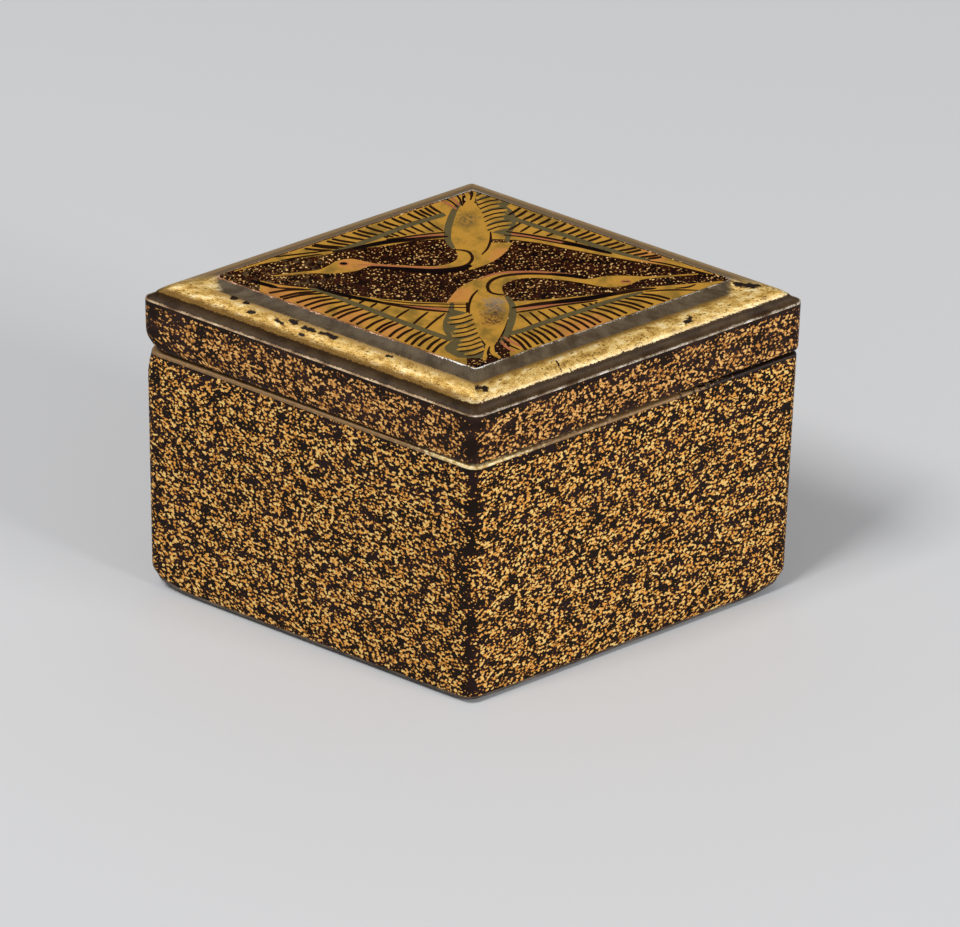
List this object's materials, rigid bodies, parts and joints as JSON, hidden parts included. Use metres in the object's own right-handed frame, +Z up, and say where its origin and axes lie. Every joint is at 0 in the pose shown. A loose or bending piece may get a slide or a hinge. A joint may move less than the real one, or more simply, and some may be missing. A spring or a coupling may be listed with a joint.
{
  "type": "incense box",
  "caption": "Small lozenge-shaped box of lacquered wood with a lift-off moulded lid, for keeping incense.",
  "frame": {"origin": "centre of the flat underside", "axes": "+X along the long diagonal towards a pointed corner, +Y along the short diagonal away from the viewer of the picture, +Z up through the lid"},
  "size_m": [0.0632, 0.0366, 0.0384],
  "materials": {
    "flaked_lacquer": "dark brown lacquer thickly sprinkled with gold flakes, satin",
    "gold_lacquer": "gold and grey lacquer over wood, satin, worn at the edges"
  },
  "bodies": {
    "root": {"body": "flaked_lacquer", "lid": "gold_lacquer"}
  },
  "joints": []
}
